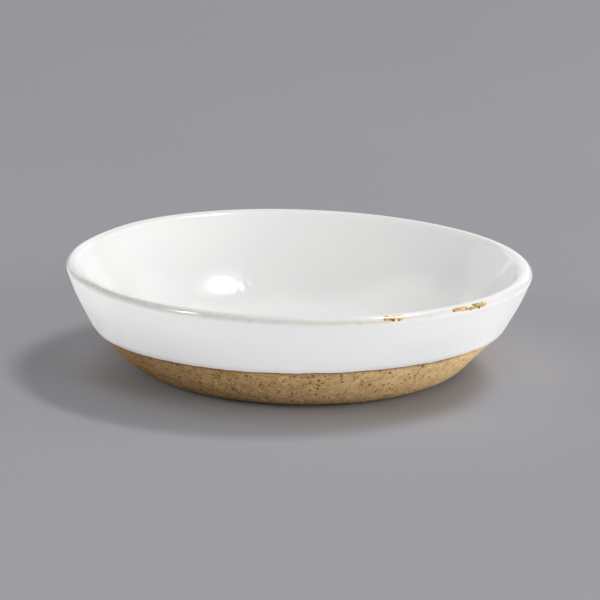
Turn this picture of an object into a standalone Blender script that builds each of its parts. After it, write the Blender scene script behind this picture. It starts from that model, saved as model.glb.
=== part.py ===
"""Shallow stoneware ramekin.

A thrown clay body with a flat turned foot, a poured glaze coat inside and a
dipped glaze coat outside. Metres, +Z up, origin at the centre of the foot.
Every section is a half profile in (radius, height), turned about Z.
"""

import math

import bmesh
import bpy

for old in list(bpy.data.objects):
    bpy.data.objects.remove(old, do_unlink=True)

MM = 0.001
SEGMENTS = 64  # steps round the axis, the same for every piece

# Overall sizes, over the glaze
RIM_RADIUS = 57.0 * MM
HEIGHT = 26.5 * MM
LIP_RADIUS = 1.6 * MM  # the lip is a half round

# Coats
GLAZE = 0.4 * MM  # thickness of each coat
GAP = 0.3 * MM  # bond line between a coat and the clay, and between the coats
COAT = GLAZE + GAP
DIP_LINE_Z = 11.9 * MM  # lowest edge of the outside coat

# Outside of the clay: foot, heel and wall
FOOT_RADIUS = 35.0 * MM  # edge of the flat that the dish stands on
HEEL_ANGLE = math.radians(5.5)  # rise of the heel where it leaves the table
HEEL_PULL = 11.7 * MM
WALL_ANGLE = math.radians(66.9)  # steepness of the wall under the lip
WALL_PULL = 6.0 * MM

# Underside
RECESS_RADIUS = 28.5 * MM  # the middle is turned a little hollow, so the dish can't rock
RECESS_DEPTH = 0.8 * MM
RECESS_CHAMFER = 0.9 * MM

# Inside of the clay: floor and wall
FLOOR_Z = 4.5 * MM
FLOOR_RADIUS = 30.0 * MM
FLOOR_DISH = 0.25 * MM  # the middle of the floor lies this much lower
FLOOR_PULL = 12.0 * MM
INNER_ANGLE = math.radians(64.0)  # steepness of the inside wall under the lip
INNER_PULL = 12.0 * MM

CLAY_LIP = LIP_RADIUS - COAT
LIP_CENTRE = (RIM_RADIUS - LIP_RADIUS, HEIGHT - LIP_RADIUS)
LIP_IN = math.pi / 2 + INNER_ANGLE  # where the lip's round meets the inside wall
LIP_OUT = WALL_ANGLE - math.pi / 2  # where it meets the outside wall
CREST = math.pi / 2
SEAM = 0.5 * GAP / LIP_RADIUS  # half the angle between the two coats at the crest


# ---------------------------------------------------------------- profiles
# A path point is (radius, height, normal radius, normal height), with the
# normal pointing out of the clay. Paths run from the middle of the floor, up
# the inside, over the lip and down the outside.


def bezier_at(p0, p1, p2, p3, t):
    s = 1.0 - t
    weights = (s * s * s, 3 * s * s * t, 3 * s * t * t, t * t * t)
    slopes = (-3 * s * s, 3 * s * s - 6 * s * t, 6 * s * t - 3 * t * t, 3 * t * t)
    spots = (p0, p1, p2, p3)
    r = sum(w * p[0] for w, p in zip(weights, spots))
    z = sum(w * p[1] for w, p in zip(weights, spots))
    dr = sum(w * p[0] for w, p in zip(slopes, spots))
    dz = sum(w * p[1] for w, p in zip(slopes, spots))
    size = math.hypot(dr, dz)
    return (r, z, -dz / size, dr / size)


def lip_at(angle):
    c, s = math.cos(angle), math.sin(angle)
    return (LIP_CENTRE[0] + CLAY_LIP * c, LIP_CENTRE[1] + CLAY_LIP * s, c, s)


def floor_at(r):
    share = (r / FLOOR_RADIUS) ** 2
    slope = 4.0 * FLOOR_DISH * r / FLOOR_RADIUS**2 * (1.0 - share)
    size = math.hypot(1.0, slope)
    return (r, FLOOR_Z - FLOOR_DISH * (1.0 - share) ** 2, -slope / size, 1.0 / size)


def inner_wall_at(t):
    top = lip_at(LIP_IN)
    low = (FLOOR_RADIUS, FLOOR_Z)
    return bezier_at(
        low,
        (low[0] + FLOOR_PULL, low[1]),
        (
            top[0] - INNER_PULL * math.cos(INNER_ANGLE),
            top[1] - INNER_PULL * math.sin(INNER_ANGLE),
        ),
        top[:2],
        t,
    )


def outer_wall_at(t):
    top = lip_at(LIP_OUT)
    low = (FOOT_RADIUS, 0.0)
    return bezier_at(
        top[:2],
        (
            top[0] - WALL_PULL * math.cos(WALL_ANGLE),
            top[1] - WALL_PULL * math.sin(WALL_ANGLE),
        ),
        (
            low[0] + HEEL_PULL * math.cos(HEEL_ANGLE),
            low[1] + HEEL_PULL * math.sin(HEEL_ANGLE),
        ),
        low,
        t,
    )


def steps(first, last, count):
    return [first + (last - first) * i / count for i in range(count + 1)]


def raised(path, distance):
    """The path's points moved out of the clay by a distance."""
    return [(r + nr * distance, z + nz * distance) for r, z, nr, nz in path]


def dip_end():
    """Place along the outside wall where the middle of the coat reaches the dip line."""
    low, high = 0.0, 1.0
    for _ in range(60):
        mid = 0.5 * (low + high)
        r, z, nr, nz = outer_wall_at(mid)
        if z + nz * (GAP + 0.5 * GLAZE) > DIP_LINE_Z:
            low = mid
        else:
            high = mid
    return 0.5 * (low + high)


def rounded_edge(point, count):
    """A half-round edge on a coat that ends at a path point, from its outer face to its inner one."""
    r, z, nr, nz = point
    along = (nz, -nr)  # down the outside wall
    made = []
    for i in range(1, count):
        turn = math.pi * i / count
        out = GAP + 0.5 * GLAZE * (1.0 + math.cos(turn))
        on = 0.5 * GLAZE * math.sin(turn)
        made.append((r + nr * out + along[0] * on, z + nz * out + along[1] * on))
    return made


FLOOR_PATH = [floor_at(r) for r in steps(0.0, FLOOR_RADIUS, 4)]
INNER_PATH = [inner_wall_at(t) for t in steps(0.0, 1.0, 11)]
OUTER_PATH = [outer_wall_at(t) for t in steps(0.0, 1.0, 12)]
DIP = dip_end()


# ------------------------------------------------------------------ pieces


def turned(name, profile, loop, colour, rough):
    """Turns a half profile about Z. A loop closes on itself, any other profile starts and ends on the axis."""
    grid = bmesh.new()
    rings = []
    for r, z in profile:
        if r < 1e-9:
            rings.append([grid.verts.new((0.0, 0.0, z))])
            continue
        turn = [2.0 * math.pi * i / SEGMENTS for i in range(SEGMENTS)]
        rings.append(
            [grid.verts.new((r * math.cos(a), r * math.sin(a), z)) for a in turn]
        )
    pairs = list(zip(rings, rings[1:]))
    if loop:
        pairs.append((rings[-1], rings[0]))
    for one, two in pairs:
        for i in range(SEGMENTS):
            j = (i + 1) % SEGMENTS
            if len(one) == 1:
                grid.faces.new((one[0], two[i], two[j]))
            elif len(two) == 1:
                grid.faces.new((one[j], one[i], two[0]))
            else:
                grid.faces.new((one[j], one[i], two[i], two[j]))
    bmesh.ops.recalc_face_normals(grid, faces=grid.faces)
    mesh = bpy.data.meshes.new(name)
    grid.to_mesh(mesh)
    grid.free()
    piece = bpy.data.objects.new(name, mesh)
    bpy.context.scene.collection.objects.link(piece)
    finish = bpy.data.materials.new(name + "_finish")
    finish.use_nodes = True
    shader = finish.node_tree.nodes["Principled BSDF"]
    shader.inputs["Base Color"].default_value = (*colour, 1.0)
    shader.inputs["Roughness"].default_value = rough
    mesh.materials.append(finish)
    return piece


# The clay: floor, inside wall, lip, outside wall, heel, foot and the recess under it
clay_lip = [lip_at(a) for a in steps(LIP_IN, LIP_OUT, 8)]
clay = raised(FLOOR_PATH + INNER_PATH[1:] + clay_lip[1:] + OUTER_PATH[1:], 0.0)
clay += [
    (RECESS_RADIUS, 0.0),
    (RECESS_RADIUS - RECESS_CHAMFER, RECESS_DEPTH),
    (0.5 * RECESS_RADIUS, RECESS_DEPTH),
    (0.0, RECESS_DEPTH),
]
turned("stoneware_body", clay, False, (0.42, 0.27, 0.13), 0.8)

# The poured coat: floor, inside wall and the inner half of the lip
inside = FLOOR_PATH + INNER_PATH[1:]
inside += [lip_at(a) for a in steps(LIP_IN, CREST + SEAM, 4)][1:]
turned(
    "inside_glaze",
    raised(inside, COAT) + raised(inside, GAP)[::-1],
    False,
    (0.82, 0.82, 0.80),
    0.12,
)

# The dipped coat: the outer half of the lip and the wall down to the dip line
outside = [lip_at(a) for a in steps(CREST - SEAM, LIP_OUT, 5)]
outside += [outer_wall_at(t) for t in steps(0.0, DIP, 7)][1:]
turned(
    "outside_glaze",
    raised(outside, COAT) + rounded_edge(outside[-1], 4) + raised(outside, GAP)[::-1],
    True,
    (0.82, 0.82, 0.80),
    0.12,
)
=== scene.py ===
import math

import bpy
import numpy as np
from mathutils import Matrix, Quaternion, Vector


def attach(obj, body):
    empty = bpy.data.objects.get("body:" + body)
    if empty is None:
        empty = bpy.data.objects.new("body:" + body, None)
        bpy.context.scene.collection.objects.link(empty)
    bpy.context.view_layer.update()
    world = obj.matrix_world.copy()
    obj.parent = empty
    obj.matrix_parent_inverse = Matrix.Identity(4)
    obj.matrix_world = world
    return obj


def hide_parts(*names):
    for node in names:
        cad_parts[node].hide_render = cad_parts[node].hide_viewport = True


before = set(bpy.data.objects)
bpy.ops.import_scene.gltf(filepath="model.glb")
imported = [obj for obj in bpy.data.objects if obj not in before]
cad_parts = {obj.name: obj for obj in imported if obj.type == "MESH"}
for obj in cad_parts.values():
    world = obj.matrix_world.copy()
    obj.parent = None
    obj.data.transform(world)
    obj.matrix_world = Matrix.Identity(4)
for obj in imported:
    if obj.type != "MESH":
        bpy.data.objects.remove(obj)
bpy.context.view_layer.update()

# ------------------------------------------------------------------ sizes, in millimetres
RIM, TALL, LIP = 57.0, 26.5, 1.6
COAT = 0.7  # the glaze surface stands this far off the turned clay profile
THICK = 0.42  # glaze over the clay
FOOT, HEEL_ANGLE, HEEL_PULL = 35.0, math.radians(5.5), 11.7
WALL_ANGLE, WALL_PULL = math.radians(66.9), 6.0
RECESS_R, RECESS_DEEP, RECESS_EDGE = 28.5, 0.8, 0.9
FLOOR_Z, FLOOR_R, FLOOR_DISH, FLOOR_PULL = 4.5, 30.0, 0.25, 12.0
INNER_ANGLE, INNER_PULL = math.radians(64.0), 12.0
LIP_C = np.array([RIM - LIP, TALL - LIP])
LIP_FLAT = 1.85  # 2 is a half round, and less flattens the bevel between its two edges

# ------------------------------------------------------------------ noise
rng = np.random.default_rng(7)
PERM = np.concatenate([rng.permutation(256)] * 3)
GRAD = rng.normal(size=(256, 3))
GRAD /= np.linalg.norm(GRAD, axis=1)[:, None]


def noise(p):
    """Gradient noise in about -1 to 1 at points p of shape (..., 3)."""
    p = np.asarray(p, float)
    i = np.floor(p).astype(int)
    f = p - i
    w = f * f * f * (f * (f * 6 - 15) + 10)
    i &= 255
    total = 0.0
    for a in (0, 1):
        for b in (0, 1):
            for c in (0, 1):
                h = PERM[PERM[PERM[i[..., 0] + a] + i[..., 1] + b] + i[..., 2] + c]
                g = (GRAD[h] * (f - np.array([a, b, c]))).sum(-1)
                wa = w[..., 0] if a else 1 - w[..., 0]
                wb = w[..., 1] if b else 1 - w[..., 1]
                wc = w[..., 2] if c else 1 - w[..., 2]
                total = total + g * wa * wb * wc
    return total * 1.7


def smooth(x, lo, hi):
    t = np.clip((x - lo) / (hi - lo), 0.0, 1.0)
    return t * t * (3 - 2 * t)


# ------------------------------------------------------------------ profiles
def bezier(p0, p1, p2, p3, count):
    t = np.linspace(0, 1, count)[:, None]
    p0, p1, p2, p3 = map(np.asarray, (p0, p1, p2, p3))
    s = 1 - t
    spot = s**3 * p0 + 3 * s * s * t * p1 + 3 * s * t * t * p2 + t**3 * p3
    way = 3 * s * s * (p1 - p0) + 6 * s * t * (p2 - p1) + 3 * t * t * (p3 - p2)
    way /= np.linalg.norm(way, axis=1)[:, None]
    return spot, way


class Path:
    """A half profile by its length from the crest of the lip, with a normal that points out of the clay."""

    def __init__(self, points, flip):
        points = np.asarray(points)
        step = np.linalg.norm(np.diff(points, axis=0), axis=1)
        keep = np.concatenate([[True], step > 1e-7])
        points = points[keep]
        s = np.concatenate([[0], np.cumsum(np.linalg.norm(np.diff(points, axis=0), axis=1))])
        self.long = s[-1]
        self.s = np.linspace(0, self.long, 6000)
        self.r = np.interp(self.s, s, points[:, 0])
        self.z = np.interp(self.s, s, points[:, 1])
        dr, dz = np.gradient(self.r), np.gradient(self.z)
        width = 25
        box = np.ones(width) / width
        pad = lambda v: np.convolve(np.pad(v, width // 2, mode="edge"), box, mode="valid")
        dr, dz = pad(dr), pad(dz)
        size = np.hypot(dr, dz)
        self.nr, self.nz = -dz / size * flip, dr / size * flip

    def tilt(self, s):
        """Angle of the surface's normal: 90 is up and 0 is level outward."""
        return np.degrees(np.interp(s, self.s, np.unwrap(np.arctan2(self.nz, self.nr))))

    def at(self, s, out=0.0):
        """Radius and height at length s, moved out of the clay."""
        r, z = np.interp(s, self.s, self.r), np.interp(s, self.s, self.z)
        return (
            r + np.interp(s, self.s, self.nr) * out,
            z + np.interp(s, self.s, self.nz) * out,
        )


clay_lip = LIP - COAT
top_out = LIP_C + clay_lip * np.array([math.sin(WALL_ANGLE), -math.cos(WALL_ANGLE)])
wall, way = bezier(
    top_out,
    top_out - WALL_PULL * np.array([math.cos(WALL_ANGLE), math.sin(WALL_ANGLE)]),
    np.array([FOOT, 0.0]) + HEEL_PULL * np.array([math.cos(HEEL_ANGLE), math.sin(HEEL_ANGLE)]),
    np.array([FOOT, 0.0]),
    1500,
)
wall = wall + COAT * np.c_[-way[:, 1], way[:, 0]]
turn = np.linspace(math.pi / 2, 0, 400)
bevel = LIP_C + LIP * np.c_[np.cos(turn) ** (2 / LIP_FLAT), np.sin(turn) ** (2 / LIP_FLAT)]
turn = np.linspace(0, WALL_ANGLE - math.pi / 2, 120)
under = LIP_C + LIP * np.c_[np.cos(turn), np.sin(turn)]
OUT = Path(np.concatenate([bevel, under[1:], wall[1:]]), 1)

LIP_IN_WIDE = 2.1  # the inner half of the lip is rounded off more gently than the outer half
end_in = math.atan(math.tan(INNER_ANGLE) * LIP_IN_WIDE / LIP)
top_in = LIP_C + np.array([-LIP_IN_WIDE * math.sin(end_in), LIP * math.cos(end_in)])
top_in = top_in - COAT * np.array([-math.sin(INNER_ANGLE), math.cos(INNER_ANGLE)])
inner, way = bezier(
    top_in,
    top_in - INNER_PULL * np.array([math.cos(INNER_ANGLE), math.sin(INNER_ANGLE)]),
    (FLOOR_R + FLOOR_PULL, FLOOR_Z),
    (FLOOR_R, FLOOR_Z),
    1500,
)
inner = inner + COAT * np.c_[way[:, 1], -way[:, 0]]
turn = np.linspace(0, end_in, 300)
lip_in = LIP_C + np.c_[-LIP_IN_WIDE * np.sin(turn), LIP * np.cos(turn)]
flat = np.linspace(FLOOR_R, 0.0, 400)[1:]
floor_in = np.c_[flat, FLOOR_Z + COAT - FLOOR_DISH * (1 - (flat / FLOOR_R) ** 2) ** 2]
IN = Path(np.concatenate([lip_in, inner[1:], floor_in]), -1)


# ------------------------------------------------------------------ the dish is hand made
def degrees(a):
    """Angle round the dish in degrees, -180 to 180: 0 is the front and 90 the right."""
    return np.degrees((a + math.pi) % (2 * math.pi) - math.pi)


def dip_height(a):
    """Height of the dipped edge round the dish: it was held a little askew, and the edge is not quite even."""
    d = degrees(a)
    z = 11.60 + 0.17 * np.cos(a) + 0.62 * np.sin(a) + 0.14 * np.cos(2 * a) + 0.19 * np.sin(2 * a)
    z = z - 0.34 * np.exp(-(((d - 77) / 13) ** 2)) + 0.15 * np.exp(-(((d + 38) / 16) ** 2)) - 0.07 * np.exp(-(((d + 8) / 22) ** 2))
    ring = np.stack([np.sin(a), -np.cos(a), np.zeros_like(a)], -1)
    z = z + 0.10 * noise(ring * 5.0 + 3.1) + 0.10 * noise(ring * 14.0 + 9.7)
    return z + 0.06 * noise(ring * 34.0 + 1.3) + 0.04 * noise(ring * 80.0 + 6.1)


def dip_length(a):
    lower = OUT.s > 4.0
    return np.interp(-dip_height(a), -OUT.z[lower], OUT.s[lower])


def fuller(z, a):
    """How far the outside stands off the turned profile: the wall is a little full, and a little lean low on the right."""
    d = degrees(a)
    all_round = 0.15 * smooth(z, 7.0, 11.0) * (1 - smooth(z, 19.5, 24.5)) * (1 - 0.55 * np.exp(-(((z - 15.5) / 2.6) ** 2)))
    low_right = 0.50 * np.exp(-(((d - 68) / 22) ** 2)) * smooth(z, 1.2, 4.5) * (1 - smooth(z, 8.0, 13.5))
    return all_round - low_right


def outer(s, a, out):
    """Radius and height on the outside at length s and angle a, moved out of the clay."""
    return OUT.at(s, out + fuller(np.interp(s, OUT.s, OUT.z), a))


def placed(r, z, a):
    """Points in metres, with the rim's slight saddle and lean."""
    share = np.clip(z / TALL, 0, 1.1) ** 2
    d = degrees(a)
    lift = 0.26 * np.sin(2 * a) - 0.36 * np.exp(-(((d + 114) / 15) ** 2)) + 0.45 * np.exp(-(((d + 14) / 26) ** 2))
    lift = lift * share
    r = r + 0.10 * share
    return (
        np.stack([r * np.sin(a) + 0.34 * share, -r * np.cos(a), z + lift], -1) * 0.001
    )


# ------------------------------------------------------------------ mesh from rings
def skin(name, r, z, angles, loop=False, pole_first=False, pole_last=False, sharp=(), values=None, grain=None, flip=False):
    """A closed mesh from ring arrays of shape (rings, steps). values are per-vertex numbers of the same shape, and grain is a place per vertex."""
    rings, count = r.shape
    a = np.broadcast_to(angles, r.shape)
    points = placed(r, z, a).reshape(-1, 3)
    index = np.arange(rings * count).reshape(rings, count)
    after = np.roll(index, -1, axis=1)
    below = np.roll(index, -1, axis=0)
    below_after = np.roll(after, -1, axis=0)
    rows = rings if loop else rings - 1
    quads = np.stack([index, below, below_after, after], -1)[:rows].reshape(-1, 4)
    faces = [quads.ravel()]
    sizes = [np.full(len(quads), 4)]
    extra = []
    for wanted, row, order in ((pole_first, 0, 1), (pole_last, rings - 1, -1)):
        if wanted:
            pole = rings * count + len(extra)
            middle = points[index[row]].mean(0)
            extra.append(middle)
            tri = np.stack([np.full(count, pole), index[row], after[row]], -1)
            tri = tri if order > 0 else tri[:, ::-1]
            faces.append(tri.ravel())
            sizes.append(np.full(count, 3))
    if extra:
        points = np.concatenate([points, np.array(extra)])
    if flip:
        faces = [f.reshape(-1, n[0])[:, ::-1].ravel() for f, n in zip(faces, sizes)]
    corners, sizes = np.concatenate(faces), np.concatenate(sizes)
    mesh = bpy.data.meshes.new(name)
    mesh.vertices.add(len(points))
    mesh.vertices.foreach_set("co", points.astype(np.float32).ravel())
    mesh.loops.add(len(corners))
    mesh.loops.foreach_set("vertex_index", corners.astype(np.int32))
    mesh.polygons.add(len(sizes))
    starts = np.concatenate([[0], np.cumsum(sizes)[:-1]])
    mesh.polygons.foreach_set("loop_start", starts.astype(np.int32))
    mesh.polygons.foreach_set("loop_total", sizes.astype(np.int32))
    mesh.update(calc_edges=True)
    mesh.validate()
    mesh.polygons.foreach_set("use_smooth", np.ones(len(mesh.polygons), bool))
    for key, field in (values or {}).items():
        flat_field = np.concatenate([np.broadcast_to(field, r.shape).ravel(), np.zeros(len(extra))])
        for k, (wanted, row) in enumerate(
            [(w, n) for w, n in ((pole_first, 0), (pole_last, rings - 1)) if w]
        ):
            flat_field[rings * count + k] = np.broadcast_to(field, r.shape)[row].mean()
        mesh.attributes.new(key, "FLOAT", "POINT").data.foreach_set(
            "value", flat_field.astype(np.float32)
        )
    if grain is not None:
        spots = np.concatenate([grain.reshape(-1, 3), np.zeros((len(extra), 3))])
        for k, row in enumerate([n for w, n in ((pole_first, 0), (pole_last, rings - 1)) if w]):
            spots[rings * count + k] = grain[row].mean(0)
        mesh.attributes.new("grain", "FLOAT_VECTOR", "POINT").data.foreach_set(
            "vector", spots.astype(np.float32).ravel()
        )
    if len(sharp):
        ends = np.empty(len(mesh.edges) * 2, np.int32)
        mesh.edges.foreach_get("vertices", ends)
        ring_of = ends.reshape(-1, 2) // count
        same = ring_of[:, 0] == ring_of[:, 1]
        hard = same & np.isin(ring_of[:, 0], sharp)
        mesh.attributes.new("sharp_edge", "BOOLEAN", "EDGE").data.foreach_set("value", hard)
    mesh.update()
    piece = bpy.data.objects.new(name, mesh)
    bpy.context.scene.collection.objects.link(piece)
    return piece


def spaced(*stops):
    """Lengths from (start, step) stops, the last being (end, None)."""
    made = []
    for (a, step), (b, _) in zip(stops, stops[1:]):
        made.append(np.linspace(a, b, max(1, round((b - a) / step)), endpoint=False))
    return np.concatenate(made + [[stops[-1][0]]])


def around(coarse, fine):
    """Angles round the dish, finer over the two parts of the lip where the glaze has worn through."""
    made = []
    for lo, hi, step in ((19, 28.5, fine), (28.5, 38, coarse), (38, 54.5, fine), (54.5, 379, coarse)):
        made.append(np.linspace(lo, hi, round((hi - lo) / step), endpoint=False))
    return np.radians(np.concatenate(made))


# ------------------------------------------------------------------ the lip
WORN_STROKES = (
    # from and to angle, length down from the crest at each end, half height, how worn
    (20.6, 25.6, 1.35, 1.40, 1.15, -0.30),
    (20.9, 25.3, 0.62, 0.74, 0.32, -0.06),
    (20.6, 22.8, 1.66, 1.80, 0.40, 0.17),
    (22.8, 22.9, 1.86, 1.86, 0.42, 0.42),
    (24.2, 24.3, 1.98, 1.98, 0.36, 0.36),
    (23.2, 25.2, 1.66, 1.74, 0.32, -0.06),
    (40.2, 50.9, 1.45, 1.60, 0.95, -0.26),
    (40.5, 43.9, 1.42, 1.55, 0.74, 0.00),
    (43.8, 46.9, 1.74, 1.80, 0.52, 0.06),
    (46.8, 50.6, 1.60, 1.55, 0.84, 0.01),
    (46.7, 48.6, 1.10, 1.16, 0.32, 0.13),
    (39.9, 40.0, 1.54, 1.54, 0.42, 0.42),
    (48.3, 48.6, 2.20, 2.18, 0.36, 0.30),
    (45.2, 46.0, 2.12, 2.12, 0.32, 0.08),
    (44.5, 44.7, 2.00, 2.00, 0.26, 0.08),
    (42.3, 43.2, 1.82, 1.86, 0.26, 0.10),
    (49.6, 50.2, 1.95, 1.90, 0.30, 0.12),
    (24.0, 24.1, 2.84, 2.84, 0.24, -0.10),
    (51.3, 51.4, 1.44, 1.44, 0.26, -0.05),
    (38.6, 39.0, 1.46, 1.46, 0.28, -0.34),
)


def worn(a, s):
    """How far the glaze has gone at angle a and length s down from the crest: over 0 it has worn through."""
    d = degrees(a)
    mm = math.radians(1.0) * 56.5
    spot = np.stack([d * mm * 0.5, s, np.zeros_like(d * s)], -1)
    grain = 0.19 * noise(spot * 1.3 + 5.0) + 0.20 * noise(spot * 2.7 + 11.0) + 0.14 * noise(spot * 5.0 + 2.0)

    def stroke(d0, d1, s0, s1, half, level):
        along = np.clip((d - d0) / (d1 - d0), 0, 1)
        past = np.maximum(np.maximum(d0 - d, d - d1), 0) * mm
        far = np.hypot(past, s - s0 - along * (s1 - s0)) / half
        return -1.0 + (level + 1.0) * (1 - smooth(far + 0.9 * grain, 0.5, 1.35))

    made = np.full(np.broadcast(d, s).shape, -1.0)
    for each in WORN_STROKES:
        made = np.maximum(made, stroke(*each))
    islands = 1 - smooth(np.hypot((d - 45.4) * mm / 1.1, s - 1.2) + 0.8 * grain, 0.2, 0.75)
    return np.clip(made - 0.35 * islands + 1.3 * grain * smooth(made, -0.7, -0.2), -1.5, 1.5)


LIP_STOPS = (-180, -105, -72, -60, -46, -30, -14, 0, 12, 21, 29, 60, 100, 180)


def lip_fields(a, tilt):
    """Where the glaze lies thin on the lip, partly painted shade that is heaviest on the left, and where it looks warm
    there. tilt is the lip's angle: 90 at the crest.
    """
    d = degrees(a)
    table = lambda *v: np.interp(d, LIP_STOPS, v)
    spot = np.stack([np.sin(a) * 56, -np.cos(a) * 56, tilt * 0.028], -1)
    waver = 5 * noise(spot / 2.6 + 15) + 3 * noise(spot / 0.9 + 2)
    thinnest = table(50, 45, 45, 51, 53, 46, 32, 24, 26, 22, 39, 30, 30, 50) + waver
    upper = table(85, 112, 150, 160, 140, 95, 70, 58, 52, 46, 66, 70, 74, 85) + waver
    lower = table(28, 14, 12, 18, -5, -20, -24, -20, -14, -8, 0, -14, 0, 28) + waver
    much = table(0.30, 0.32, 0.82, 1.05, 0.95, 0.82, 0.68, 0.64, 0.82, 0.78, 0.50, 0.34, 0.28, 0.30)
    blotch = 0.86 + 0.22 * noise(spot / 3.4 + 4) + 0.28 * noise(spot / 1.1 + 8) + 0.20 * noise(spot / 0.5 + 1)
    rising = np.clip((upper - tilt) / np.maximum(upper - thinnest, 6), 0, 1)
    band = rising**1.3 * smooth(tilt, lower, np.maximum(thinnest, lower + 8))
    thin = np.clip(band * much * np.clip(blotch, 0.2, 1.25), 0, 1)
    warm = smooth(d, -18, 10) * (1 - 0.6 * smooth(d, 25, 36)) * (1 - smooth(d, 80, 120))
    return thin, np.clip(warm + 0.25 * noise(spot / 4.0 + 22), 0, 1)


# ------------------------------------------------------------------ outside glaze
angles = around(0.6, 0.10)
dip = dip_length(angles)
dip0 = float(np.median(dip))
face = spaced((0.0, 0.105), (3.4, 0.6), (dip0 - 2.0, 0.16), (dip0, None))
stretch = smooth(face, 3.4, dip0)[:, None]
S = face[:, None] + stretch * (dip - dip0)[None, :]
A = np.broadcast_to(angles, S.shape)
ring = np.stack([np.sin(A) * RIM, -np.cos(A) * RIM, S], -1)
to_edge = np.maximum(dip[None, :] - S, 0.0)
edge_thick = 0.36 + 0.05 * noise(np.stack([np.sin(A), np.cos(A), 0 * A], -1) * 9.0)
glaze = THICK - (THICK - edge_thick) * np.exp(-((to_edge / 0.9) ** 1.5))
glaze = glaze + 0.05 * np.exp(-(((to_edge - 1.1) / 0.7) ** 2))  # a slight roll of glaze above the edge
wave = 0.020 * noise(ring / 9.0) + 0.012 * noise(ring / 4.0 + 5) + 0.006 * noise(ring / 1.8 + 3)
wave = wave * smooth(S, 0.0, 1.5)
wear = worn(A, S)
gone = smooth(wear, 0.22, 0.42)
rubbed = smooth(wear, -0.30, 0.20) * (0.13 + 0.10 * noise(ring / 0.55 + 6))
out = glaze - THICK + wave - np.maximum(rubbed, gone * (THICK + 0.14))
r_face, z_face = outer(S, A, out)
# the edge rolls under on to the clay
rolls = np.linspace(0, math.pi / 2, 7)[1:]
t_edge = edge_thick[-1]
r_roll, z_roll = zip(
    *[
        outer(dip + 0.75 * t_edge * math.sin(q), angles, t_edge * math.cos(q) - THICK - 0.05 * math.sin(q))
        for q in rolls
    ]
)
# the back of the coat lies just inside the clay
back = spaced((0.0, 0.7), (3.4, 1.6), (dip0, None))[::-1]
S_back = back[:, None] + smooth(back, 3.4, dip0)[:, None] * (dip - dip0)[None, :]
r_back, z_back = outer(S_back, np.broadcast_to(angles, S_back.shape), np.full(S_back.shape, -THICK - 0.34))
r_out = np.concatenate([r_face, np.array(r_roll), r_back])
z_out = np.concatenate([z_face, np.array(z_roll), z_back])
# how thin the glaze lies: over the lip, and down at the dipped edge; both also carry painted shade, heaviest on the
# left
lip_thin, lip_warm = lip_fields(A, OUT.tilt(S))
# partly thin glaze and partly painted shade: the darkening at the dipped edge is made much stronger on the left side
edge_thin = np.exp(-((to_edge / 1.0) ** 1.1)) * np.clip(0.45 - 0.40 * np.sin(A), 0.08, 1.0)
edge_thin = edge_thin * np.clip(0.9 + 0.5 * noise(ring / 6.0 + 31), 0.3, 1.3)


def full(field, fill):
    return np.concatenate([field, np.full((len(r_out) - len(field), field.shape[1]), fill)])


outside = skin(
    "outside_glaze_coat",
    r_out,
    z_out,
    angles,
    loop=True,
    sharp=[0, len(r_out) - 1, len(face) + len(rolls) - 1],
    values={
        "lip_thin": full(lip_thin, 0.0),
        "lip_warm": full(lip_warm, 0.0),
        "edge_thin": full(edge_thin, 1.0),
        "wear": full(wear, -1.0),
    },
)

# ------------------------------------------------------------------ inside glaze
steps_in = np.radians(np.arange(0, 360, 0.75))
face_in = spaced((0.0, 0.12), (3.2, 0.65), (IN.long - 30, 0.9), (IN.long - 1.0, None))
S = np.repeat(face_in[:, None], len(steps_in), 1)
A = np.broadcast_to(steps_in, S.shape)
r0, z0 = IN.at(S)
ring = np.stack([np.sin(A) * r0, -np.cos(A) * r0, z0], -1)
ripply = 0.35 + 1.5 * smooth(ring[..., 0], -18.0, -12.5) * (1 - smooth(ring[..., 0], -2.0, 14.0))
ripply = ripply * smooth(r0, 22.0, 33.0)  # the floor lies smooth
wave = 0.034 * noise(ring / 13.0 + 2) + 0.018 * noise(ring / 5.5 + 7) + ripply * (0.020 * noise(ring / 2.5 + 3) + 0.007 * noise(ring / 1.2 + 9))
puckered = np.exp(-(((ring[..., 0] + 13.6) / 1.7) ** 2)) * smooth(ring[..., 1], 20.0, 28.0) * (1 - smooth(ring[..., 1], 46.0, 50.0))
wave = wave + 0.075 * puckered * noise(ring / 1.7 + 21)
wave = wave * smooth(S, 0.0, 2.0)
r_in, z_in = IN.at(S, wave)
back = spaced((0.0, 0.8), (3.2, 2.0), (IN.long - 1.0, None))[::-1]
S_back = np.repeat(back[:, None], len(steps_in), 1)
r_b, z_b = IN.at(S_back, np.full(S_back.shape, -THICK - 0.15))
# The two skins close on each other at the crest, and each has a pole at the middle of the floor
r_all = np.concatenate([r_b, r_in])
z_all = np.concatenate([z_b, z_in])
# thin glaze on the inner lip, partly painted shade
lip_thin, lip_warm = lip_fields(A, IN.tilt(S))
lip_thin = lip_thin * (1 - smooth(S, 2.5, 3.3))  # the lip only: the floor lies level too
# painted light: the glaze is made paler over the floor, a way up the right side and on the left wall below the lip,
# where more light falls on it
upright = smooth(degrees(A), 60, 100) * (1 - smooth(degrees(A), 140, 170))
pool = 1 - smooth((r0 + 0.8 * noise(ring / 8.0 + 17) - 34.5 - 9.0 * upright) / (8.5 - 3.0 * upright), 0.0, 1.0)
lit_left_wall = smooth(degrees(A), -165, -115) * (1 - smooth(degrees(A), -70, -20))
pool = np.maximum(pool, 0.27 * lit_left_wall * smooth(S, 2.6, 5.0))
hidden = np.zeros_like(r_b)
inside = skin(
    "inside_glaze_coat",
    r_all,
    z_all,
    steps_in,
    pole_first=True,
    pole_last=True,
    sharp=[len(r_b) - 1, len(r_b)],
    flip=True,
    values={
        "lip_thin": np.concatenate([hidden, lip_thin]),
        "lip_warm": np.concatenate([hidden, lip_warm]),
        "pool": np.concatenate([hidden, pool]),
    },
)

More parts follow.
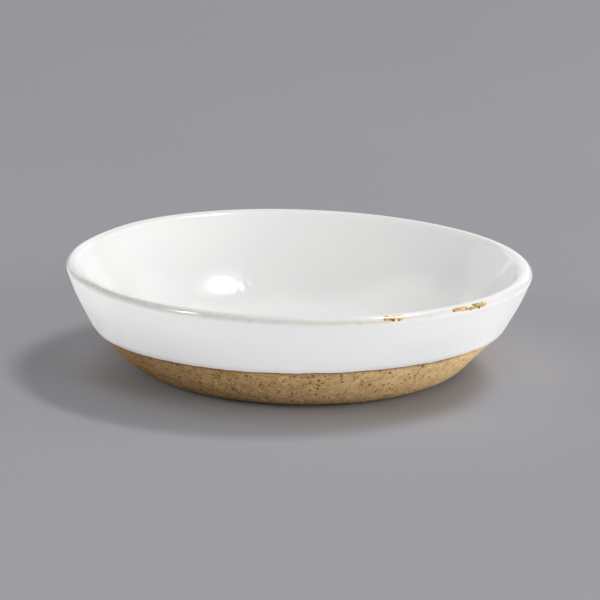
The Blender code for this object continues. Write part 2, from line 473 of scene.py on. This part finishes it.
# ------------------------------------------------------------------ clay
angles = around(0.7, 0.22)
dip = dip_length(angles)
foot_s = OUT.long
lip_s = spaced((0.0, 0.16), (3.4, 1.4), (dip0 - 2.0, 0.4), (dip0 + 1.2, 0.42), (foot_s, None))
S = np.repeat(lip_s[:, None], len(angles), 1)
A = np.broadcast_to(angles, S.shape)
below = S - dip[None, :]
sink = THICK + (COAT - THICK) * smooth(below, 0.3, 6.0)
r0, z0 = outer(S, A, -sink)
spot = np.stack([np.sin(A) * r0, -np.cos(A) * r0, z0], -1)
bare = smooth(below, -0.4, 0.5) * (1 - smooth(S, foot_s - 0.8, foot_s))
grain = 0.030 * noise(spot / 1.1) + 0.022 * noise(spot / 0.55 + 3) + 0.05 * noise(spot / 7.0 + 9)
turned = 0.012 * np.sin(S * 5.2 + 1.5 * noise(spot / 11.0)) + 0.010 * np.sin(S * 9.7 + 2)
pits = -0.10 * smooth(noise(spot / 0.8 + 31), 0.42, 0.75)
rough_lip = (0.05 * noise(spot / 0.7 + 4) + 0.04 * noise(spot / 0.35 + 8)) * (1 - smooth(S, 2.6, 3.4))
r_o, z_o = outer(S, A, -sink + bare * (grain + turned + pits) + rough_lip)
z_o[-1] = 0.0
toast = np.exp(-((np.maximum(below - 0.60, 0) / 0.50) ** 1.5)) * smooth(below, -0.6, -0.1)
toast = toast * np.clip(0.85 + 0.35 * noise(spot / 2.5 + 6), 0, 1.1)
# painted shade and light: the clay is made dark on the left, where the table under it lies in shadow, and pale on the
# right, where it is lit; noise adds random tone on top
tone = np.interp(degrees(A), (-180, -120, -75, -60, -38, -20, 1, 14, 33, 55, 61, 68, 78, 110, 180), (0.60, 0.38, 0.02, 0.05, 0.18, 0.29, 0.54, 0.67, 0.93, 1.0, 0.95, 0.83, 0.76, 0.74, 0.60))
tone = np.clip(tone + 0.12 * noise(spot / 14.0 + 12), 0, 1)
chipped = 1 - smooth(S, 3.0, 3.6)
# under the foot: the standing ring, the shallow hollow and a fine turned spiral look
radii = np.concatenate(
    [
        np.linspace(FOOT - 0.5, RECESS_R + 0.25, 12),
        np.linspace(RECESS_R, RECESS_R - RECESS_EDGE, 6),
        np.linspace(RECESS_R - RECESS_EDGE - 0.6, 0.6, 28),
    ]
)
R_u = np.repeat(radii[:, None], len(angles), 1)
A_u = np.broadcast_to(angles, R_u.shape)
spot_u = np.stack([np.sin(A_u) * R_u, -np.cos(A_u) * R_u, 0 * R_u], -1)
rise = RECESS_DEEP * smooth(-R_u, -RECESS_R, -RECESS_R + RECESS_EDGE)
rise = rise + (0.02 * np.sin(R_u * 4.1) + 0.03 * noise(spot_u / 1.6) + 0.02) * smooth(-R_u, -RECESS_R + 0.2, -RECESS_R + 2)
rise = rise + 0.02 * np.abs(noise(spot_u / 0.9 + 3)) * (R_u > RECESS_R)
# inside of the clay, hidden by the glaze
s_in = spaced((0.0, 0.3), (2.4, 2.2), (IN.long - 1.0, None))[::-1]
S_in = np.repeat(s_in[:, None], len(angles), 1)
r_i, z_i = IN.at(S_in, np.full(S_in.shape, -THICK))
r_clay = np.concatenate([r_i[:-1], r_o, R_u])
z_clay = np.concatenate([z_i[:-1], z_o, rise])
none = np.zeros((len(r_i) - 1, len(angles)))
# the specks run a little down the wall, so the grain is measured round it and down it
grain_at = np.concatenate(
    [
        placed(r_i[:-1], z_i[:-1], np.broadcast_to(angles, r_i[:-1].shape)),
        np.stack([46 * np.sin(A), -46 * np.cos(A), -S / 1.25], -1) * 0.001,
        spot_u * 0.001 + np.array([0, 0, 0.2]),
    ]
)
body = skin(
    "stoneware_clay",
    r_clay,
    z_clay,
    angles,
    pole_first=True,
    pole_last=True,
    values={
        "toast": np.concatenate([none, toast, np.zeros_like(R_u)]),
        "tone": np.concatenate([none, tone, np.full(R_u.shape, 0.5)]),
        "chipped": np.concatenate([none, chipped, np.zeros_like(R_u)]),
    },
    grain=grain_at,
)


# ------------------------------------------------------------------ materials
class Nodes:
    def __init__(self, name):
        self.made = bpy.data.materials.new(name)
        self.made.use_nodes = True
        self.tree = self.made.node_tree
        self.shader = self.tree.nodes["Principled BSDF"]

    def new(self, kind, **settings):
        node = self.tree.nodes.new(kind)
        for key, value in settings.items():
            setattr(node, key, value)
        return node

    def put(self, value, socket):
        if isinstance(value, bpy.types.NodeSocket):
            self.tree.links.new(value, socket)
        else:
            socket.default_value = value

    def math(self, how, a, b=None, clamp=False):
        node = self.new("ShaderNodeMath", operation=how, use_clamp=clamp)
        self.put(a, node.inputs[0])
        if b is not None:
            self.put(b, node.inputs[1])
        return node.outputs[0]

    def mix(self, share, a, b, how="MIX"):
        node = self.new("ShaderNodeMix", data_type="RGBA", blend_type=how)
        self.put(share, node.inputs["Factor"])
        for value, socket in ((a, node.inputs[6]), (b, node.inputs[7])):
            self.put(value if isinstance(value, bpy.types.NodeSocket) else (*value, 1.0), socket)
        return node.outputs[2]

    def ramp(self, value, lo, hi, first=0.0, last=1.0):
        node = self.new("ShaderNodeMapRange", interpolation_type="SMOOTHSTEP")
        self.put(value, node.inputs["Value"])
        for key, v in (("From Min", lo), ("From Max", hi), ("To Min", first), ("To Max", last)):
            node.inputs[key].default_value = v
        return node.outputs[0]

    def spots(self):
        if not hasattr(self, "where"):
            self.where = self.new("ShaderNodeTexCoord").outputs["Object"]
        return self.where

    def noise(self, size_mm, detail=2.0, seed=0.0, rough=0.5):
        node = self.new("ShaderNodeTexNoise", noise_dimensions="4D")
        self.put(self.spots(), node.inputs["Vector"])
        node.inputs["W"].default_value = seed
        node.inputs["Scale"].default_value = 1000.0 / size_mm
        node.inputs["Detail"].default_value = detail
        node.inputs["Roughness"].default_value = rough
        return node.outputs["Fac"]

    def cells(self, size_mm, seed):
        """Distance to each cell's point in mm, and a random number for the cell."""
        shift = self.new("ShaderNodeVectorMath", operation="ADD")
        self.put(self.spots(), shift.inputs[0])
        shift.inputs[1].default_value = (seed, seed * 0.7, seed * 1.3)
        node = self.new("ShaderNodeTexVoronoi", voronoi_dimensions="3D", feature="F1")
        self.put(shift.outputs[0], node.inputs["Vector"])
        node.inputs["Scale"].default_value = 1000.0 / size_mm
        split = self.new("ShaderNodeSeparateColor")
        self.put(node.outputs["Color"], split.inputs[0])
        return self.math("MULTIPLY", node.outputs["Distance"], size_mm), split.outputs[0], split.outputs[1]

    def value(self, name):
        return self.new("ShaderNodeAttribute", attribute_name=name).outputs["Fac"]

    def bump(self, height, strength, distance):
        node = self.new("ShaderNodeBump")
        node.inputs["Strength"].default_value = strength
        node.inputs["Distance"].default_value = distance
        self.put(height, node.inputs["Height"])
        return node.outputs["Normal"]


def glaze_material(name, dipped):
    m = Nodes(name)
    tone = m.ramp(m.noise(24.0, 2.0, 3.0), 0.3, 0.7)
    colour = m.mix(tone, (0.790, 0.790, 0.785), (0.810, 0.808, 0.795))
    # thin glaze on the lip, partly painted shade that is heaviest on its left
    thin_and_shade_colour = m.mix(m.value("lip_warm"), (0.53, 0.525, 0.475), (0.63, 0.56, 0.455))
    colour = m.mix(m.value("lip_thin"), colour, thin_and_shade_colour)
    if not dipped:
        # painted light: paler glaze where more light falls inside
        colour = m.mix(m.value("pool"), colour, (0.905, 0.903, 0.892))
    if dipped:
        # grey of thin glaze at the dipped edge, with painted shade that is heaviest on the left
        edge = m.value("edge_thin")
        colour = m.mix(m.math("MULTIPLY", edge, 0.62), colour, (0.55, 0.57, 0.565))
        wear = m.value("wear")
        colour = m.mix(m.ramp(wear, -0.60, -0.30), colour, (0.80, 0.715, 0.56))
        colour = m.mix(m.ramp(wear, -0.26, -0.02), colour, (0.57, 0.400, 0.190))
        colour = m.mix(m.ramp(wear, 0.06, 0.24), colour, (0.28, 0.165, 0.070))
    m.put(colour, m.shader.inputs["Base Color"])
    m.shader.inputs["Roughness"].default_value = 0.12
    m.shader.inputs["IOR"].default_value = 1.5
    m.put(m.bump(m.noise(1.7, 1.0, 5.0), 0.10, 0.00004), m.shader.inputs["Normal"])
    return m.made


def clay_material(name):
    m = Nodes(name)
    m.where = m.new("ShaderNodeAttribute", attribute_name="grain").outputs["Vector"]
    broad = m.ramp(m.noise(7.0, 3.0, 1.0), 0.32, 0.68)
    # a lit copy and a shaded copy of the clay's colour, mixed by the painted side shade
    lit_clay = m.mix(broad, (0.785, 0.552, 0.276), (0.885, 0.636, 0.330))
    shaded_clay = m.mix(broad, (0.292, 0.171, 0.061), (0.354, 0.214, 0.083))
    tone = m.value("tone")
    colour = m.mix(tone, shaded_clay, lit_clay)
    # specks and grain thin out on the pale, painted-lit side
    calm = m.ramp(tone, 0.72, 1.0, 1.0, 0.5)  # the pale side is the smoother one
    mottle = m.ramp(m.noise(2.0, 3.0, 12.0, 0.62), 0.40, 0.70)
    colour = m.mix(m.math("MULTIPLY", mottle, 0.55), colour, (0.62, 0.55, 0.45), "MULTIPLY")
    grainy = m.ramp(m.noise(0.75, 2.0, 2.0, 0.6), 0.40, 0.74)
    colour = m.mix(m.math("MULTIPLY", grainy, m.math("MULTIPLY", calm, 0.70)), colour, (0.58, 0.50, 0.40), "MULTIPLY")
    crowd = m.ramp(m.noise(8.0, 2.0, 8.0), 0.40, 0.60)
    marks = None
    for size, seed, base, share, least, most in (
        (1.12, 0.31, 0.25, 0.42, 0.19, 0.42),
        (0.60, 0.77, 0.22, 0.36, 0.08, 0.20),
    ):
        far, luck, girth = m.cells(size, seed)
        odds = m.math("MULTIPLY", m.math("ADD", m.math("MULTIPLY", crowd, share), base), calm)
        chosen = m.math("LESS_THAN", luck, odds)
        radius = m.math("ADD", m.math("MULTIPLY", m.math("POWER", girth, 1.6), most - least), least)
        ragged = m.math("MULTIPLY", m.math("SUBTRACT", m.noise(0.4, 1.0, seed), 0.5), 0.40)
        inside_it = m.math("SUBTRACT", radius, m.math("ADD", far, ragged))
        mark = m.math("MULTIPLY", m.ramp(inside_it, -0.10, 0.06), chosen)
        marks = mark if marks is None else m.math("MAXIMUM", marks, mark)
    mark_colour = m.mix(m.ramp(m.noise(2.2, 1.0, 6.0), 0.35, 0.65), (0.105, 0.046, 0.016), (0.22, 0.105, 0.038))
    colour = m.mix(m.math("MULTIPLY", marks, 0.86), colour, mark_colour)
    far, luck, girth = m.cells(0.8, 0.13)
    flecks = m.math("MULTIPLY", m.ramp(far, 0.26, 0.10), m.math("LESS_THAN", luck, 0.20))
    colour = m.mix(m.math("MULTIPLY", flecks, 0.50), colour, (0.80, 0.60, 0.34))
    colour = m.mix(m.math("MULTIPLY", m.value("toast"), 0.92), colour, (0.19, 0.078, 0.036))
    # in the worn spots the bared clay is toasted, with dark pits
    pitted = m.mix(m.ramp(m.noise(0.6, 2.0, 9.0), 0.38, 0.58), (0.150, 0.078, 0.026), (0.50, 0.335, 0.150))
    colour = m.mix(m.value("chipped"), colour, pitted)
    m.put(colour, m.shader.inputs["Base Color"])
    m.shader.inputs["Roughness"].default_value = 0.82
    m.shader.inputs["Specular IOR Level"].default_value = 0.30
    height = m.math("SUBTRACT", m.math("MULTIPLY", m.noise(0.5, 3.0, 4.0), 0.6), m.math("MULTIPLY", marks, 0.9))
    m.put(m.bump(height, 0.7, 0.00016), m.shader.inputs["Normal"])
    return m.made


for piece, node, slot, made in (
    (body, "stoneware_body", "stoneware", clay_material("speckled_stoneware")),
    (inside, "inside_glaze", "inside_white_glaze", glaze_material("poured_white_glaze", False)),
    (outside, "outside_glaze", "outside_white_glaze", glaze_material("dipped_white_glaze", True)),
):
    piece.data.materials.append(made)
    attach(piece, "root")
    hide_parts(node)

# ------------------------------------------------------------------ floor
bpy.ops.mesh.primitive_plane_add(size=80.0, location=(0, 0, 0))
floor = bpy.context.object
floor.name = "floor"
FAR = (0.296, 0.293, 0.312)  # the paper's brightness far off
m = Nodes("grey_paper")
shade = m.mix(m.ramp(m.noise(160.0, 2.0, 1.0), 0.3, 0.7), (0.341, 0.338, 0.357), (0.349, 0.346, 0.365))
# painted light on the paper: beside the clay on the right it is made a little cooler against the warm light thrown off
# the clay, and on the left it is made paler to lift the shade under the wall
for place, size, tint in (
    ((0.045, -0.012, 0.0), (0.019, 0.036, 1.0), (0.93, 0.98, 1.06)),
    ((-0.044, 0.010, 0.0), (0.018, 0.032, 1.0), (1.16, 1.22, 1.30)),
):
    painted_fill = m.new("ShaderNodeMapping", vector_type="TEXTURE")
    m.put(m.spots(), painted_fill.inputs["Vector"])
    painted_fill.inputs["Location"].default_value = place
    painted_fill.inputs["Scale"].default_value = size
    reach = m.new("ShaderNodeVectorMath", operation="LENGTH")
    m.put(painted_fill.outputs[0], reach.inputs[0])
    shade = m.mix(m.ramp(reach.outputs["Value"], 0.2, 1.0, 1.0, 0.0), shade, tint, "MULTIPLY")
# the lamps stand round the dish, and past them the paper is lit evenly by the room
spread = m.new("ShaderNodeVectorMath", operation="LENGTH")
m.put(m.spots(), spread.inputs[0])
past = m.ramp(spread.outputs["Value"], 0.48, 1.0)
m.put(m.mix(past, shade, (0.0, 0.0, 0.0)), m.shader.inputs["Base Color"])
m.shader.inputs["Emission Color"].default_value = (*FAR, 1.0)
m.put(past, m.shader.inputs["Emission Strength"])
m.shader.inputs["Roughness"].default_value = 0.95
m.shader.inputs["Specular IOR Level"].default_value = 0.15
floor.data.materials.append(m.made)


# ------------------------------------------------------------------ light and camera
def toward(azimuth, elevation):
    """Unit vector from the dish: azimuth 0 is the camera's side, 90 is to the right."""
    a, e = math.radians(azimuth), math.radians(elevation)
    return Vector((math.cos(e) * math.sin(a), -math.cos(e) * math.cos(a), math.sin(e)))


def lamp_at(name, kind, way, distance):
    lamp = bpy.data.objects.new(name, bpy.data.lights.new(name, kind))
    lamp.location = Vector((0, 0, 0.015)) + way * distance
    lamp.rotation_mode = "QUATERNION"
    lamp.rotation_quaternion = way.to_track_quat("Z", "Y")
    lamp.visible_camera = False
    bpy.context.scene.collection.objects.link(lamp)
    return lamp


def panel(name, azimuth, elevation, distance, wide, high, watts, shape="RECTANGLE"):
    lamp = lamp_at(name, "AREA", toward(azimuth, elevation), distance)
    lamp.data.shape = shape
    lamp.data.size, lamp.data.size_y = wide, high
    lamp.data.energy = watts
    return lamp


dish = bpy.data.collections.new("dish")
for piece in (body, inside, outside):
    dish.objects.link(piece)


def bounce(name, x0, x1, y0, y1, level):
    """White card on the table round the dish, which throws light up under its wall. The grey paper takes none of it."""
    lamp = lamp_at(name, "AREA", Vector((0, 0, -1)), 0.0)
    lamp.location = ((x0 + x1) / 2, (y0 + y1) / 2, 0.0004)
    lamp.rotation_quaternion = (0, 1, 0, 0)
    lamp.data.shape = "RECTANGLE"
    lamp.data.size, lamp.data.size_y = x1 - x0, y1 - y0
    lamp.data.energy = level * 4 * (x1 - x0) * (y1 - y0)
    lamp.visible_glossy = False
    lamp.light_linking.receiver_collection = dish
    lamp.light_linking.blocker_collection = dish
    return lamp


def matt(lamp):
    """A lamp behind a wide screen: it lights, and leaves no bright patch in the glaze."""
    lamp.visible_glossy = False
    return lamp


def on_dish(lamp):
    """A lamp flagged off the grey paper."""
    lamp.light_linking.receiver_collection = dish
    lamp.light_linking.blocker_collection = dish
    return lamp


ground = bpy.data.collections.new("ground")
ground.objects.link(floor)


def on_floor(lamp):
    """A lamp that is kept off the dish, and throws its shadow on the table."""
    lamp.light_linking.receiver_collection = ground
    lamp.light_linking.blocker_collection = dish
    return lamp


lamps = [
    on_dish(panel("key", 102.5, 64.5, 3.0, 1.06, 0.47, 27.4, "ELLIPSE")),
    on_floor(panel("key_floor", 121.8, 61.4, 3.0, 1.06, 0.47, 28.2, "ELLIPSE")),
    panel("key_spread", 102.5, 63.0, 2.9, 1.9, 0.95, 7.8, "ELLIPSE"),
    matt(panel("side", 90, 12, 1.3, 0.9, 0.6, 7.2)),
    matt(panel("front_right", 45, 25, 1.3, 0.5, 0.4, 3.2)),
    matt(panel("left", 270, 12, 1.3, 0.9, 0.6, 3.2)),
    matt(panel("front_left", 295, 27, 1.3, 0.5, 0.4, 2.8)),
    matt(panel("front_low", 0, 15, 1.3, 1.4, 0.55, 4.1)),
    panel("back_right", 135, 40, 1.3, 0.9, 0.6, 1.35),
    matt(panel("back_left", 225, 12, 1.3, 0.9, 0.6, 1.4)),
    panel("back", 180, 40, 1.3, 0.9, 0.6, 0.3),
    on_dish(panel("backdrop", 180, 17, 1.3, 1.6, 0.48, 1.6)),
    on_dish(panel("backdrop_foot", 180, 14, 1.3, 1.6, 0.62, 1.2)),
    on_dish(panel("sheen", 225, 12, 1.3, 0.9, 0.6, 1.4)),
    on_dish(panel("catch", 290, 44, 1.25, 0.08, 0.24, 4.0)),
    bounce("bounce_front", -0.12, 0.12, -0.12, -0.057, 0.60),
    bounce("bounce_right", 0.047, 0.12, -0.057, 0.057, 0.60),
    bounce("bounce_left", -0.12, -0.047, -0.057, 0.057, 0.51),
    bounce("bounce_back", -0.12, 0.12, 0.057, 0.12, 0.80),
    bounce("bounce_far_left", -0.5, -0.12, -0.12, 0.12, 1.55),
    bounce("under_front", -0.050, 0.050, -0.057, -0.044, 0.10),
    bounce("under_right", 0.044, 0.057, -0.044, 0.044, 0.25),
    bounce("gleam_far", -0.15, 0.15, 0.030, 0.16, 0.27),
    bounce("gleam_middle", -0.15, 0.15, 0.010, 0.030, 0.20),
    bounce("gleam_near", -0.15, 0.15, -0.014, 0.010, 0.11),
]
lamps[0].rotation_quaternion @= Quaternion((0, 0, 1), math.radians(14))  # the key hangs a little askew
# a spark on the near lip, a sheen inside on the right, and white card mirrored along the turn of the wall
for name, piece in (("catch", outside), ("sheen", inside), ("gleam", outside)):
    only = bpy.data.collections.new(name)
    only.objects.link(piece)
    for lamp in lamps:
        if lamp.name.startswith(name):
            lamp.light_linking.receiver_collection = only
            lamp.visible_diffuse, lamp.visible_glossy = False, True
world = bpy.data.worlds.new("studio")
world.use_nodes = True
tree = world.node_tree
sky = tree.nodes["Background"]
sky.inputs["Strength"].default_value = 0.213
where = tree.nodes.new("ShaderNodeTexCoord")
split = tree.nodes.new("ShaderNodeSeparateXYZ")
tree.links.new(where.outputs["Generated"], split.inputs[0])
rise_of = tree.nodes.new("ShaderNodeMapRange")
rise_of.interpolation_type = "SMOOTHSTEP"
rise_of.inputs["From Min"].default_value = 0.03
rise_of.inputs["From Max"].default_value = 0.16
tree.links.new(split.outputs["Z"], rise_of.inputs["Value"])
blend = tree.nodes.new("ShaderNodeMix")
blend.data_type = "RGBA"
tree.links.new(rise_of.outputs[0], blend.inputs["Factor"])
blend.inputs[6].default_value = (*[1.04 * v / sky.inputs["Strength"].default_value for v in FAR], 1.0)  # level with the table, the room is as grey as the paper
blend.inputs[7].default_value = (0.98, 0.99, 1.0, 1.0)
tree.links.new(blend.outputs[2], sky.inputs["Color"])
bpy.context.scene.world = world
bpy.context.scene.view_settings.view_transform = "Standard"

ELEVATION, ROLL = math.radians(14.68), math.radians(1.33)
PIXELS, FOCAL = 600, 231.42 * 17.0  # the photo is 600 px wide; its focal length in pixels
SPOT = (297.03, 320.22)  # where the aim point lies in the photo
aim = Vector((0, 0, 0.0114))
look = Vector((0, math.cos(ELEVATION), -math.sin(ELEVATION)))
place = aim - look * (17.0 * 0.057)
camera_data = bpy.data.cameras.new("camera")
camera_data.sensor_width = 36.0
camera_data.lens = FOCAL / PIXELS * 36.0
camera_data.clip_start, camera_data.clip_end = 0.05, 100.0
camera = bpy.data.objects.new("camera", camera_data)
bpy.context.scene.collection.objects.link(camera)
# Level axes, then turned so that the aim point falls on SPOT, then rolled
right = Vector((1, 0, 0))
up = right.cross(look)
across, down = SPOT[0] - PIXELS / 2, SPOT[1] - PIXELS / 2
c, s = math.cos(ROLL), math.sin(ROLL)
u, v = c * across + s * down, -s * across + c * down
look2 = (look - right * (u / FOCAL) + up * (v / FOCAL)).normalized()
right2 = look2.cross(up).normalized()
up2 = right2.cross(look2)
right3, up3 = right2 * c + up2 * s, up2 * c - right2 * s
axes = Matrix((right3, up3, -look2)).transposed()
camera.matrix_world = Matrix.Translation(place) @ axes.to_4x4()
bpy.context.scene.camera = camera
